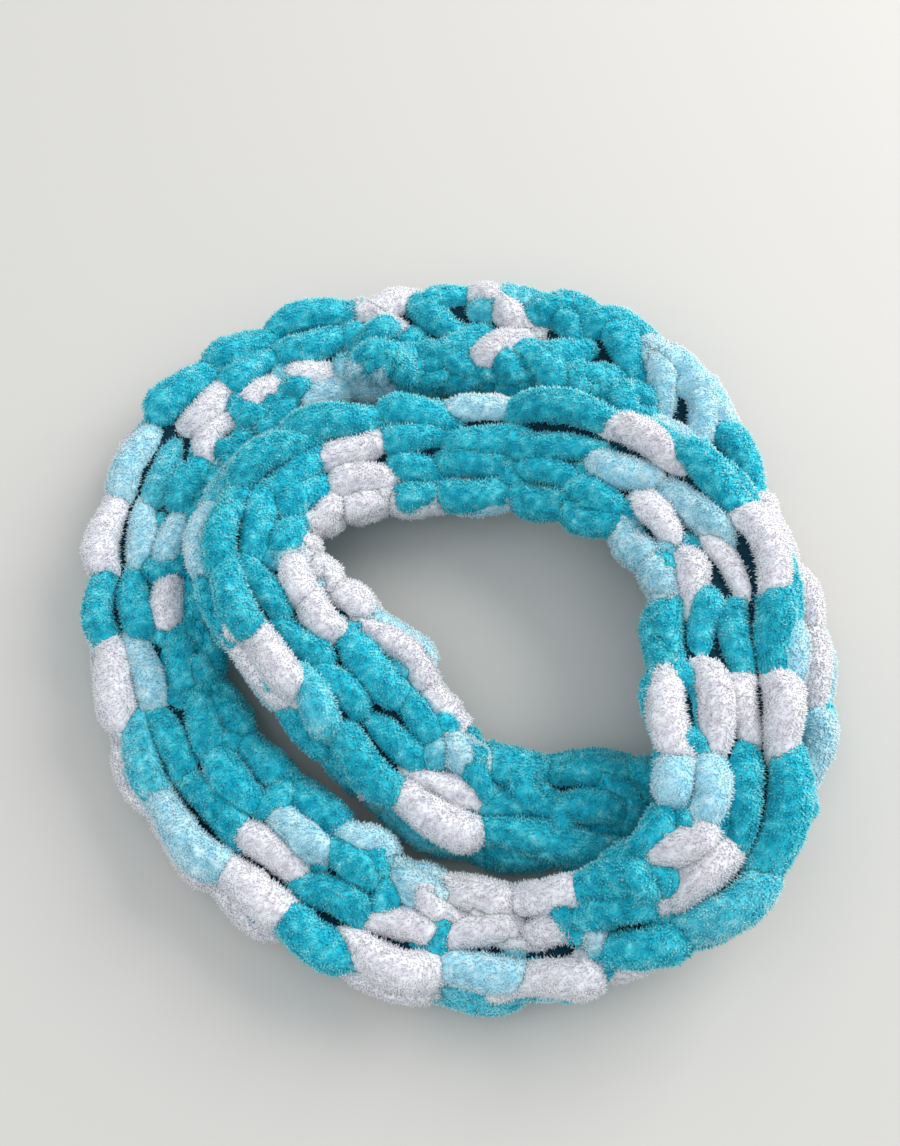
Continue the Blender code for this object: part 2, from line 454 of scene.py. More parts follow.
@dataclass(frozen=True)
class Course:
    """One row of stitches across the band.

    Attributes:
        index: Its number, counted along the loop.
        distance: Where its middle is along the loop.
        pitch: From this course to the next.
        lean: How far each leg of a stitch leans across the band, from end to end.
        shift: How much farther than usual the first leg lies from the free edge.
        gauge: From one leg of the upper face to the next.
    """

    index: int
    distance: float
    pitch: float
    lean: float
    shift: float
    gauge: float


@dataclass(frozen=True)
class Strand:
    """A length of yarn, ready to be made round.

    Attributes:
        points: Its middle line, in millimetres.
        girth: Its radius at each point, in millimetres.
        colours: Its colour at each point.
    """

    points: np.ndarray
    girth: np.ndarray
    colours: np.ndarray


@dataclass(frozen=True)
class Hollow:
    """The place where the knitting sinks beside the joining seam.

    Attributes:
        turn: Where along the route it is deepest.
        spread: How many degrees of the route it covers to each side.
        start: Where it starts, as a distance across the cloth.
        slope: Over what distance it reaches its depth.
        depth: How deep it is.
    """

    turn: float = 436.0
    spread: float = 4.2
    start: float = 20.0
    slope: float = 16.0
    depth: float = 19.0

    def sunk(self, turns: np.ndarray, run: np.ndarray) -> np.ndarray:
        """How deep it is at each place."""
        along = np.exp(-(((turns - self.turn) / self.spread) ** 2))
        return self.depth * along * np.clip((run - self.start) / self.slope, 0.0, 1.0)


@dataclass(frozen=True)
class ChenilleKnit:
    """Plain knitting in very thick yarn, laid over the folded band.

    The yarn of a course runs across the band in loops. Each stitch has a foot, a leg, a
    head and another leg. The feet point along the route, and the two legs of a stitch draw
    together there and go under the round heads of the next course.

    Attributes:
        fold: The folded cloth that it covers.
        legs: Legs of stitches across each of the band's two faces.
        bend_legs: Legs more that carry the upper face's knitting round the inner bend.
        top_edge: From the top layer's free edge to the first leg of the upper face.
        outer_edge: From the start of the outer bend to the first leg underneath.
        bottom_edge: From the last leg underneath to the bottom layer's free edge.
        edge_limit: How near to the top layer's free edge the yarn's line may come.
        last_leg_reach: How far past the middle of the last leg underneath it may go.
        points_per_leg: Points of the yarn's line along each leg.
        yarn_radius: Radius of the yarn in the middle of a leg, without its pile.
        foot_slimming: Share of that radius that the yarn loses in its feet.
        foot_taper: How near to its foot a leg starts to get slim.
        head_slimming: Share of that radius that the yarn loses in its heads.
        end_girth: Share of that radius at a strand's hidden ends.
        overlap: How far the loops of neighbouring courses reach into each other.
        sink: How far the middle of a leg lies below the middle of the cloth.
        foot_drop: How far a foot dives below that.
        foot_bend: How short the stretch is in which the foot dives.
        head_drop: How far a head dives.
        head_bend: How short the stretch is in which the head dives.
        uneven_run: The usual wander of a leg across the band.
        uneven_distance: The usual wander of a foot or head along the band.
        uneven_rise: The usual wander up and down.
        uneven_girth: The usual share by which the radius wanders.
        lowest: Gap between the yarn and the table, for the pile.
        tuck: Share of those dives that is left out where a strand ends inside the fold.
        full_room: How much of its length the cloth keeps where the yarn is still full.
        least_room: The share of its radius that the yarn keeps in the tightest bend.
        hollow: Where the knitting sinks beside the seam.
        dye_range: The least and the most dye that a leg takes, as shares of its tone.
        tone_change: The share of a leg in which one tone passes into the next.
        seed: Seed for the uneven hand of the knitter.
    """

    fold: LetterFold
    legs: int = 5
    bend_legs: int = 1
    top_edge: float = 5.0
    outer_edge: float = 8.5
    bottom_edge: float = 9.0
    edge_limit: float = 1.0
    last_leg_reach: float = 1.0
    points_per_leg: int = 14
    yarn_radius: float = 8.5
    foot_slimming: float = 0.34
    foot_taper: float = 1.5
    head_slimming: float = 0.22
    end_girth: float = 0.35
    overlap: float = 13.0
    sink: float = 2.2
    foot_drop: float = 12.0
    foot_bend: float = 3.0
    head_drop: float = 11.0
    head_bend: float = 9.0
    uneven_run: float = 1.8
    uneven_distance: float = 4.2
    uneven_rise: float = 1.1
    uneven_girth: float = 0.08
    lowest: float = 1.0
    tuck: float = 0.85
    full_room: float = 0.62
    least_room: float = 0.55
    hollow: Hollow = Hollow()
    dye_range: tuple[float, float] = (0.93, 1.05)
    tone_change: float = 0.25
    seed: int = 11

    def tone_of(self, turn: float, leg: int) -> Tone:
        """The tone of one leg, from the chart of patches.

        Args:
            turn: Where the leg's course is.
            leg: Its number: 0 to 4 from the free edge over the upper face, 5 to 9 underneath
                from the outer bend, and 10 for the one round the inner bend.

        Returns:
            The tone.
        """
        tone = Tone.TURQUOISE
        for patch in PATCHES:
            if patch.start <= turn <= patch.end and patch.first_leg <= leg <= patch.last_leg:
                tone = patch.tone
        return tone

    def numbers(self, side: Side) -> list[int]:
        """The legs of a face, by their numbers in the chart."""
        if side is Side.UPPER:
            bend = 2 * self.legs
            return [*range(self.legs), *range(bend, bend + self.bend_legs)]
        return list(range(self.legs, 2 * self.legs))

    def uneven(self, dice: np.random.Generator, phase: np.ndarray, size: float) -> np.ndarray:
        """A smooth wander along a strand, with a new value every half leg.

        Args:
            dice: Where the chance comes from.
            phase: The strand's phase at each point.
            size: The usual size of the wander.

        Returns:
            The wander at each point.
        """
        halves = phase / (np.pi / 2)
        values = dice.normal(0.0, size, round(halves[-1]) + 2)
        here = np.minimum(halves.astype(int), len(values) - 2)
        smooth = (1 - np.cos(np.pi * (halves - here))) / 2
        return values[here] * (1 - smooth) + values[here + 1] * smooth

    def leg_runs(self, course: Course, turn: float, side: Side) -> tuple[float, float]:
        """Where the legs of a face lie, as distances across the cloth.

        Args:
            course: The course that they belong to.
            turn: Where it is on the route.
            side: The upper face, or the one underneath.

        Returns:
            The distance of the first leg from the top layer's free edge, and the distance
            from one leg to the next.
        """
        if side is Side.UPPER:
            return self.top_edge, course.gauge
        runs = self.fold.runs(self.fold.route.at(np.array([turn]))[:, 2])
        first = float(runs[2][0]) + self.outer_edge
        return first, (float(runs[4][0]) - self.bottom_edge - first) / (self.legs - 1)

    def strand(self, course: Course, side: Side) -> Strand:
        """The yarn of one course, over one face of the band.

        Args:
            course: The course.
            side: The upper face, or the one underneath.

        Returns:
            The strand, with both its ends tucked inside the fold.
        """
        dice = np.random.default_rng([self.seed, course.index, 1 if side is Side.UPPER else 2])
        count = len(self.numbers(side))
        phase = np.linspace(0.0, np.pi * count, self.points_per_leg * count + 1)
        turn = float(self.fold.route.turn_at(np.array([course.distance]))[0])
        distance, run, rise = self.path(course, turn, side, phase, dice)
        girth = self.girths(distance, run, phase, dice)
        points = self.fold.place(distance, run, rise)
        points[:, 2] = np.maximum(points[:, 2], girth + self.lowest)
        return Strand(points, girth, self.colours(turn, side, phase, dice))

    def path(
        self,
        course: Course,
        turn: float,
        side: Side,
        phase: np.ndarray,
        dice: np.random.Generator,
    ) -> tuple[np.ndarray, np.ndarray, np.ndarray]:
        """The line of a strand, as places on the cloth.

        Args:
            course: Its course.
            turn: Where the course is on the route.
            side: The upper face, or the one underneath.
            phase: The strand's phase at each point: a whole pi for each leg, from a foot.
            dice: Where the chance comes from.

        Returns:
            Distances along the loop, distances across the cloth, and rises from its middle.
        """
        first, apart = self.leg_runs(course, turn, side)
        run = first + course.shift + apart * (phase / np.pi - 0.5)
        run += course.lean / 2 * np.sin(2 * phase)
        run += self.uneven(dice, phase, self.uneven_run)
        run = np.maximum(run, self.edge_limit)
        if side is Side.UNDER:
            run = np.minimum(run, first + apart * (self.legs - 1) + self.last_leg_reach)
        reach = (course.pitch + self.overlap) / 2
        distance = course.distance + reach * np.cos(phase)
        distance += self.uneven(dice, phase, self.uneven_distance)
        to_head = (1 - np.cos(phase)) / 2
        dive = self.foot_drop * (1 - to_head) ** self.foot_bend
        dive += self.head_drop * to_head**self.head_bend
        dive *= 1 - self.tuck * np.clip(phase / np.pi - self.legs + 0.5, 0.0, 1.0)
        if side is Side.UPPER:
            dive += self.hollow.sunk(self.fold.route.turn_at(distance), run)
        rise = -side.value * (self.sink + dive) + self.uneven(dice, phase, self.uneven_rise)
        return distance, run, rise

    def girths(
        self, distance: np.ndarray, run: np.ndarray, phase: np.ndarray, dice: np.random.Generator
    ) -> np.ndarray:
        """The radius of a strand: full in its legs, and slimmer at feet, heads and ends.

        Args:
            distance: The yarn's places along the loop.
            run: Its places across the cloth.
            phase: The strand's phase at each point.
            dice: Where the chance comes from.

        Returns:
            The radius at each point.
        """
        to_head = (1 - np.cos(phase)) / 2
        girth = self.yarn_radius * (1 - self.foot_slimming * (1 - to_head) ** self.foot_taper)
        girth *= 1 - self.head_slimming * to_head**self.head_bend
        girth *= 1 + self.uneven(dice, phase, self.uneven_girth)
        girth *= self.room(distance, run)
        girth[0] = girth[-1] = self.end_girth * self.yarn_radius
        return girth

    def room(self, distance: np.ndarray, run: np.ndarray) -> np.ndarray:
        """The share of its radius that the yarn keeps where a bend bunches the cloth.

        Args:
            distance: The yarn's places along the loop.
            run: Its places across the cloth.

        Returns:
            The share at each place, from the least room up to 1.
        """
        level, step = np.zeros_like(run), 1.0
        ahead = self.fold.place(distance + step, run, level)
        behind = self.fold.place(distance - step, run, level)
        stretch = np.linalg.norm(ahead - behind, axis=1) / (2 * step)
        return np.clip(stretch / self.full_room, self.least_room, 1.0)

    def colours(
        self, turn: float, side: Side, phase: np.ndarray, dice: np.random.Generator
    ) -> np.ndarray:
        """The colour along a strand: one tone a leg, passing softly into the next.

        Args:
            turn: Where the strand's course is.
            side: The upper face, or the one underneath.
            phase: The strand's phase at each point.
            dice: Where the chance comes from.

        Returns:
            One colour for each point.
        """
        tones = [self.tone_of(turn, leg) for leg in self.numbers(side)]
        values = np.array([tone.value for tone in tones])
        values = values * dice.uniform(*self.dye_range, (len(tones), 1))
        position = np.clip(phase / np.pi - 0.5, 0.0, len(tones) - 1.0)
        here = np.minimum(position.astype(int), len(tones) - 2)
        share = np.clip((position - here - 0.5) / self.tone_change + 0.5, 0.0, 1.0)[:, None]
        return values[here] * (1 - share) + values[here + 1] * share


class NodeMaker:
    """Builds a node tree, node by node."""

    def __init__(self, tree: bpy.types.NodeTree) -> None:
        """Takes the tree to build in.

        Args:
            tree: The node tree.
        """
        self.nodes = tree.nodes
        self.links = tree.links

    def add(
        self, kind: str, settings: dict[str, object] | None = None, **feeds: object
    ) -> bpy.types.Node:
        """Adds a node.

        Args:
            kind: The node's type.
            settings: Its properties.
            feeds: A socket or a value for each input. A name has _ for each space, and in_0
                is the first input, whatever its name.

        Returns:
            The node.
        """
        node = self.nodes.new(kind)
        for name, value in (settings or {}).items():
            setattr(node, name, value)
        for name, feed in feeds.items():
            self.feed(self.open_input(node, name), feed)
        return node

    @staticmethod
    def open_input(node: bpy.types.Node, name: str) -> bpy.types.NodeSocket:
        """An enabled input of a node, by its name, or by its place after in_."""
        enabled = [socket for socket in node.inputs if socket.enabled]
        if name.startswith("in_"):
            return enabled[int(name.removeprefix("in_"))]
        return next(socket for socket in enabled if socket.name == name.replace("_", " "))

    def feed(self, socket: bpy.types.NodeSocket, feed: object) -> None:
        """Links a socket to an input, or sets the input's value."""
        if isinstance(feed, bpy.types.NodeSocket):
            self.links.new(feed, socket)
        else:
            socket.default_value = feed

    def math(self, operation: str, *values: object) -> bpy.types.NodeSocket:
        """The outcome of one sum on values or sockets."""
        feeds = {f"in_{place}": value for place, value in enumerate(values)}
        return self.add("ShaderNodeMath", {"operation": operation}, **feeds).outputs[0]


class Tree(NodeMaker):
    """A Geometry Nodes tree with named inputs."""

    def __init__(self, name: str, inputs: dict[str, str]) -> None:
        """Starts a tree that takes and gives geometry.

        Args:
            name: The tree's name.
            inputs: The kind of each input, such as Float, Int or Material.
        """
        self.group = bpy.data.node_groups.new(name, "GeometryNodeTree")
        super().__init__(self.group)
        for way in ("INPUT", "OUTPUT"):
            self.group.interface.new_socket(
                "Geometry", in_out=way, socket_type="NodeSocketGeometry"
            )
        for title, kind in inputs.items():
            self.group.interface.new_socket(
                title, in_out="INPUT", socket_type=f"NodeSocket{kind}"
            )
        self.source = self.nodes.new("NodeGroupInput")
        self.result = self.nodes.new("NodeGroupOutput")

    def given(self, name: str) -> bpy.types.NodeSocket:
        """One of the tree's own inputs."""
        return self.source.outputs[name]

    def named(self, name: str) -> bpy.types.NodeSocket:
        """The value of a named attribute of the geometry."""
        node = self.add("GeometryNodeInputNamedAttribute", {"data_type": "FLOAT"}, Name=name)
        return next(socket for socket in node.outputs if socket.enabled)

    def store(
        self, geometry: bpy.types.NodeSocket, name: str, domain: str, value: object
    ) -> bpy.types.NodeSocket:
        """Stores a value in a named attribute.

        Args:
            geometry: What carries the attribute.
            name: The attribute's name.
            domain: POINT or INSTANCE.
            value: The value.

        Returns:
            The geometry with its attribute.
        """
        settings = {"data_type": "FLOAT", "domain": domain}
        return self.add(
            "GeometryNodeStoreNamedAttribute", settings, Geometry=geometry, Name=name, Value=value
        ).outputs[0]

    def ends_in(self, geometry: bpy.types.NodeSocket) -> None:
        """Gives the geometry as the tree's result, smooth and in its finish."""
        smooth = self.add("GeometryNodeSetShadeSmooth", Geometry=geometry)
        dressed = self.add(
            "GeometryNodeSetMaterial", Geometry=smooth.outputs[0], Material=self.given("Finish")
        )
        self.links.new(dressed.outputs[0], self.result.inputs["Geometry"])

    def baked(self, mesh: bpy.types.Mesh, name: str, inputs: dict[str, object]) -> bpy.types.Mesh:
        """Runs the tree on a mesh.

        Args:
            mesh: What the tree starts from.
            name: The name of the new mesh.
            inputs: A value for each named input.

        Returns:
            A plain mesh that stands alone.
        """
        carrier = bpy.data.objects.new(name + "_carrier", mesh)
        bpy.context.scene.collection.objects.link(carrier)
        modifier = carrier.modifiers.new("nodes", "NODES")
        modifier.node_group = self.group
        for item in self.group.interface.items_tree:
            if item.in_out == "INPUT" and item.name in inputs:
                modifier[item.identifier] = inputs[item.name]
        graph = bpy.context.evaluated_depsgraph_get()
        made = bpy.data.meshes.new_from_object(carrier.evaluated_get(graph), depsgraph=graph)
        made.name = name
        bpy.data.objects.remove(carrier, do_unlink=True)
        return made


@dataclass(frozen=True)
class Yarn:
    """Round chenille yarn with soft lumps, in metres.

    Attributes:
        sides: Sides of its section.
        lump_height: How far the lumps swing in and out.
        lumps_per_metre: How close together they are.
        lump_detail: How rough they are.
    """

    sides: int = 12
    lump_height: float = 0.0040
    lumps_per_metre: float = 210.0
    lump_detail: float = 2.0

    def sizes(self) -> dict[str, float]:
        """The values of the tree's inputs that are sizes."""
        return {"Lump height": self.lump_height, "Lumps per metre": self.lumps_per_metre}

    def tree(self) -> Tree:
        """The tree that makes lines round and lumpy.

        Returns:
            A tree that reads girth at each point of the lines.
        """
        kinds = dict.fromkeys(self.sizes(), "Float") | {"Sides": "Int", "Finish": "Material"}
        tree = Tree("chenille_yarn", kinds)
        line = tree.add("GeometryNodeMeshToCurve", Mesh=tree.given("Geometry"))
        ring = tree.add(
            "GeometryNodeCurvePrimitiveCircle", Resolution=tree.given("Sides"), Radius=1.0
        )
        tube = tree.add(
            "GeometryNodeCurveToMesh",
            Curve=line.outputs[0],
            Profile_Curve=ring.outputs["Curve"],
            Scale=tree.named("girth"),
            Fill_Caps=True,
        )
        scale = tree.given("Lumps per metre")
        noise = tree.add("ShaderNodeTexNoise", Scale=scale, Detail=self.lump_detail)
        swing = tree.math("SUBTRACT", noise.outputs[0], 0.5)
        offset = tree.add(
            "ShaderNodeVectorMath",
            {"operation": "SCALE"},
            Vector=tree.add("GeometryNodeInputNormal").outputs["Normal"],
            Scale=tree.math("MULTIPLY", swing, tree.given("Lump height")),
        )
        lumpy = tree.add(
            "GeometryNodeSetPosition", Geometry=tube.outputs[0], Offset=offset.outputs["Vector"]
        )
        tree.ends_in(tree.add("GeometryNodeRealizeInstances", Geometry=lumpy.outputs[0]).outputs[0])
        return tree


@dataclass(frozen=True)
class Pile:
    """The short tufts that stand out of the yarn, in metres.

    Attributes:
        spacing: The least distance from one tuft to the next.
        densest: The most tufts on a square metre.
        length: The length of a tuft.
        width: The radius of its foot.
        smallest: The share of that size that the smallest tufts have, in x, y and z.
        largest: The share that the largest have.
        tilt: How far a tuft may lean, in radians.
        twist: How far it may turn round itself either way, in radians.
        lowest: How near to the table it may come.
    """

    spacing: float = 0.00084
    densest: float = 1.6e6
    length: float = 0.0017
    width: float = 0.00050
    smallest: tuple[float, float, float] = (0.75, 0.75, 0.6)
    largest: tuple[float, float, float] = (1.3, 1.3, 1.35)
    tilt: float = 0.55
    twist: float = 3.2
    lowest: float = 0.0002

    def sizes(self) -> dict[str, float]:
        """The values of the tree's inputs that are sizes."""
        return {
            "Spacing": self.spacing,
            "Densest": self.densest,
            "Length": self.length,
            "Width": self.width,
            "Tilt": self.tilt,
            "Lowest": self.lowest,
        }

    def tree(self) -> Tree:
        """The tree that sets tufts of pile on the yarn.

        Returns:
            A tree that reads pile, the share of full density, at each point of the yarn.
        """
        kinds = dict.fromkeys(self.sizes(), "Float") | {"Seed": "Int", "Finish": "Material"}
        tree = Tree("chenille_pile", kinds)
        roots = tree.add(
            "GeometryNodeDistributePointsOnFaces",
            {"distribute_method": "POISSON"},
            Mesh=tree.given("Geometry"),
            Distance_Min=tree.given("Spacing"),
            Density_Max=tree.given("Densest"),
            Density_Factor=tree.named("pile"),
            Seed=tree.given("Seed"),
        )
        tufts = tree.add(
            "GeometryNodeInstanceOnPoints",
            Points=roots.outputs["Points"],
            Instance=self.tuft(tree),
            Rotation=self.turned(tree, roots.outputs["Rotation"]),
            Scale=self.chance(tree, "FLOAT_VECTOR", Min=self.smallest, Max=self.largest),
        )
        shaded = tree.store(tufts.outputs[0], "shade", "INSTANCE", self.chance(tree, "FLOAT"))
        whole = tree.add("GeometryNodeRealizeInstances", Geometry=shaded)
        place = tree.add("GeometryNodeInputPosition")
        apart = tree.add("ShaderNodeSeparateXYZ", Vector=place.outputs[0])
        laid = tree.add(
            "ShaderNodeCombineXYZ",
            X=apart.outputs["X"],
            Y=apart.outputs["Y"],
            Z=tree.math("MAXIMUM", apart.outputs["Z"], tree.given("Lowest")),
        )
        tree.ends_in(
            tree.add(
                "GeometryNodeSetPosition", Geometry=whole.outputs[0], Position=laid.outputs[0]
            ).outputs[0]
        )
        return tree

    def chance(self, tree: Tree, kind: str, **bounds: object) -> bpy.types.NodeSocket:
        """A random value for each tuft, between bounds, from the tree's seed."""
        node = tree.add(
            "FunctionNodeRandomValue", {"data_type": kind}, Seed=tree.given("Seed"), **bounds
        )
        return next(socket for socket in node.outputs if socket.enabled)

    def tuft(self, tree: Tree) -> bpy.types.NodeSocket:
        """One tuft, which carries tip: 0 at its foot and 1 at its tip."""
        spike = tree.add(
            "GeometryNodeMeshCone",
            Vertices=3,
            Side_Segments=1,
            Fill_Segments=1,
            Radius_Top=0.0,
            Radius_Bottom=tree.given("Width"),
            Depth=tree.given("Length"),
        )
        place = tree.add("GeometryNodeInputPosition")
        apart = tree.add("ShaderNodeSeparateXYZ", Vector=place.outputs[0])
        high = tree.math("DIVIDE", apart.outputs["Z"], tree.given("Length"))
        return tree.store(spike.outputs["Mesh"], "tip", "POINT", high)

    def turned(self, tree: Tree, upright: bpy.types.NodeSocket) -> bpy.types.NodeSocket:
        """The turning of each tuft: from upright, a chance lean and twist."""
        tilt = tree.given("Tilt")
        back = tree.math("MULTIPLY", tilt, -1.0)
        least = tree.add("ShaderNodeCombineXYZ", X=back, Y=back, Z=-self.twist).outputs[0]
        most = tree.add("ShaderNodeCombineXYZ", X=tilt, Y=tilt, Z=self.twist).outputs[0]
        chance = self.chance(tree, "FLOAT_VECTOR", Min=least, Max=most)
        leant = tree.add("FunctionNodeEulerToRotation", Euler=chance)
        return tree.add(
            "FunctionNodeRotateRotation",
            {"rotation_space": "LOCAL"},
            Rotation=upright,
            Rotate_By=leant.outputs[0],
        ).outputs[0]


class Shader(NodeMaker):
    """A material with a Principled shader."""

    def __init__(self, name: str) -> None:
        """Starts a material.

        Args:
            name: The material's name.
        """
        self.material = bpy.data.materials.new(name)
        self.material.use_nodes = True
        super().__init__(self.material.node_tree)
        self.surface = self.nodes["Principled BSDF"]

    def attribute(self, name: str, output: str) -> bpy.types.NodeSocket:
        """An attribute of the mesh, as a Color or as a plain number, Fac."""
        return self.add("ShaderNodeAttribute", {"attribute_name": name}).outputs[output]

    def spots(self, size: float, detail: float) -> bpy.types.NodeSocket:
        """Soft random spots from 0 to 1, of a size in metres, fixed to the object."""
        place = self.add("ShaderNodeTexCoord").outputs["Object"]
        return self.add(
            "ShaderNodeTexNoise", Vector=place, Scale=1 / size, Detail=detail
        ).outputs[0]

    def dress(self, **values: object) -> bpy.types.Material:
        """Sets the shader's own sockets and gives the material."""
        for name, value in values.items():
            self.feed(self.surface.inputs[name.replace("_", " ")], value)
        return self.material


@dataclass(frozen=True)
class ChenilleFinish:
    """Velvety chenille pile, dyed in tones that the mesh carries, with painted shade at the roots
    of the tufts and on the bare yarn, and painted light at the tufts' tips.

    Attributes:
        name: The material's name.
        root: Painted shade at the root of the pile and on the bare yarn, as a power on the tone; at
            1 it is the tone itself, and above 1 it is darker.
        tip: Painted light at the pile's tip, as a power on the tone; below 1 it is lighter.
        tuft_spread: How much the dye varies from tuft to tuft.
        mottle: How much the dye varies from place to place.
        mottle_size: The size of those variations, in metres.
        mottle_detail: How rough they are.
        curl_size: The size of the small curls in the pile, in metres.
        curl_detail: How rough they are.
        curl_height: How high they stand, in metres.
        curl_strength: How much of that height the light sees.
        roughness: How dull the pile is.
        glow: The share of the light that goes into the pile and comes out again.
        glow_reach: How far it gets, in metres.
        glow_tint: The share of red, green and blue in that reach.
        sheen: The strength of the soft light along the pile's edges.
        sheen_roughness: How wide that light spreads.
        gloss: The strength of the plain reflection.
    """

    name: str = "chenille"
    root: float = 1.45
    tip: float = 0.80
    tuft_spread: float = 0.5
    mottle: float = 3.0
    mottle_size: float = 0.005
    mottle_detail: float = 3.0
    curl_size: float = 0.0016
    curl_detail: float = 2.0
    curl_height: float = 0.0007
    curl_strength: float = 0.7
    roughness: float = 0.95
    glow: float = 0.8
    glow_reach: float = 0.0025
    glow_tint: tuple[float, float, float] = (1.0, 0.9, 0.9)
    sheen: float = 0.12
    sheen_roughness: float = 0.45
    gloss: float = 0.15

    def material(self) -> bpy.types.Material:
        """Builds the material."""
        shader = Shader(self.name)
        mottle = shader.math("SUBTRACT", shader.spots(self.mottle_size, self.mottle_detail), 0.5)
        spread = shader.math("MULTIPLY", mottle, self.mottle)
        # Painted shade and light: the tone is darkened at the roots of the tufts and on the bare
        # yarn, which carries no tip, and lightened towards the tufts' tips.
        height = shader.attribute("tip", "Fac")
        depth = shader.math("MULTIPLY_ADD", height, self.tip - self.root, self.root)
        shade = shader.math("SUBTRACT", shader.attribute("shade", "Fac"), 0.5)
        tuft = shader.math("MULTIPLY", shade, self.tuft_spread)
        dye = shader.math("ADD", shader.math("ADD", depth, spread), tuft)
        tone = shader.attribute("tone", "Color")
        coloured = shader.add("ShaderNodeGamma", Color=tone, Gamma=dye)
        bump = shader.add(
            "ShaderNodeBump",
            Height=shader.spots(self.curl_size, self.curl_detail),
            Strength=self.curl_strength,
            Distance=self.curl_height,
        )
        return shader.dress(
            Base_Color=coloured.outputs["Color"],
            Normal=bump.outputs["Normal"],
            Roughness=self.roughness,
            Subsurface_Weight=self.glow,
            Subsurface_Radius=self.glow_tint,
            Subsurface_Scale=self.glow_reach,
            Sheen_Weight=self.sheen,
            Sheen_Roughness=self.sheen_roughness,
            Specular_IOR_Level=self.gloss,
        )


@dataclass(frozen=True)
class PaintedGapShadeFinish:
    """Painted shade for the gaps between the stitches: a near-black finish on the backing, with
    lint on it.

    Attributes:
        name: The material's name.
        colour: Its near-black colour, which is painted shade, before the lint on it.
        lint_size: The size of the lint, in metres.
        lint_detail: How rough it is.
        lint_height: How high it stands, in metres.
        lint_strength: How much of that height the light sees.
        bare_share: The share of the colour that shows where there is no lint.
        lint_share: What a full cover of lint adds to that share.
        roughness: How dull it is.
        gloss: The strength of the plain reflection.
    """

    name: str = "painted_gap_shade"
    colour: tuple[float, float, float] = (0.004, 0.03, 0.05)
    lint_size: float = 0.002
    lint_detail: float = 3.0
    lint_height: float = 0.001
    lint_strength: float = 0.6
    bare_share: float = 0.4
    lint_share: float = 1.2
    roughness: float = 1.0
    gloss: float = 0.1

    def material(self) -> bpy.types.Material:
        """Builds the material."""
        shader = Shader(self.name)
        lint = shader.spots(self.lint_size, self.lint_detail)
        coloured = shader.add(
            "ShaderNodeVectorMath",
            {"operation": "SCALE"},
            Vector=self.colour,
            Scale=shader.math("MULTIPLY_ADD", lint, self.lint_share, self.bare_share),
        )
        bump = shader.add(
            "ShaderNodeBump", Height=lint, Strength=self.lint_strength, Distance=self.lint_height
        )
        return shader.dress(
            Base_Color=coloured.outputs["Vector"],
            Normal=bump.outputs["Normal"],
            Roughness=self.roughness,
            Specular_IOR_Level=self.gloss,
        )


@dataclass(frozen=True)
class FloorFinish:
    """A plain pale table top.

    Attributes:
        name: The material's name.
        colour: Its colour.
        roughness: How dull it is.
        gloss: The strength of the plain reflection.
    """

    name: str = "pale_floor"
    colour: tuple[float, float, float, float] = (0.56, 0.54, 0.51, 1.0)
    roughness: float = 0.7
    gloss: float = 0.3

    def material(self) -> bpy.types.Material:
        """Builds the material."""
        return Shader(self.name).dress(
            Base_Color=self.colour, Roughness=self.roughness, Specular_IOR_Level=self.gloss
        )


def show(name: str, mesh: bpy.types.Mesh) -> bpy.types.Object:
    """Puts a mesh in the scene as a piece that rides on the scarf's one body.

    Args:
        name: The piece's name.
        mesh: Its mesh, in the frame's own place.

    Returns:
        The piece.
    """
    piece = bpy.data.objects.new(name, mesh)
    bpy.context.scene.collection.objects.link(piece)
    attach(piece, "root")
    logging.info("%s: %d faces", name, len(mesh.polygons))
    return piece


def lines_mesh(name: str, strands: list[Strand]) -> bpy.types.Mesh:
    """A mesh of edges along strands, with their girth and tone at each point.

    Args:
        name: The mesh's name.
        strands: The strands.

    Returns:
        The mesh, in metres.
    """
    points = np.concatenate([strand.points for strand in strands]) * MM
    girth = np.concatenate([strand.girth for strand in strands]) * MM
    colours = np.concatenate([strand.colours for strand in strands])
    ends = np.cumsum([len(strand.points) for strand in strands])
    first = np.setdiff1d(np.arange(len(points) - 1), ends - 1)
    mesh = bpy.data.meshes.new(name)
    mesh.from_pydata(points.tolist(), np.column_stack([first, first + 1]).tolist(), [])
    mesh.attributes.new("girth", "FLOAT", "POINT").data.foreach_set("value", girth)
    opaque = np.column_stack([colours, np.ones(len(colours))])
    mesh.attributes.new("tone", "FLOAT_COLOR", "POINT").data.foreach_set("color", opaque.ravel())
    return mesh


def vertices_of(mesh: bpy.types.Mesh, what: str) -> np.ndarray:
    """The positions (co) or normals (normal) of a mesh's vertices."""
    values = np.empty(3 * len(mesh.vertices))
    mesh.vertices.foreach_get(what, values)
    return values.reshape(-1, 3)


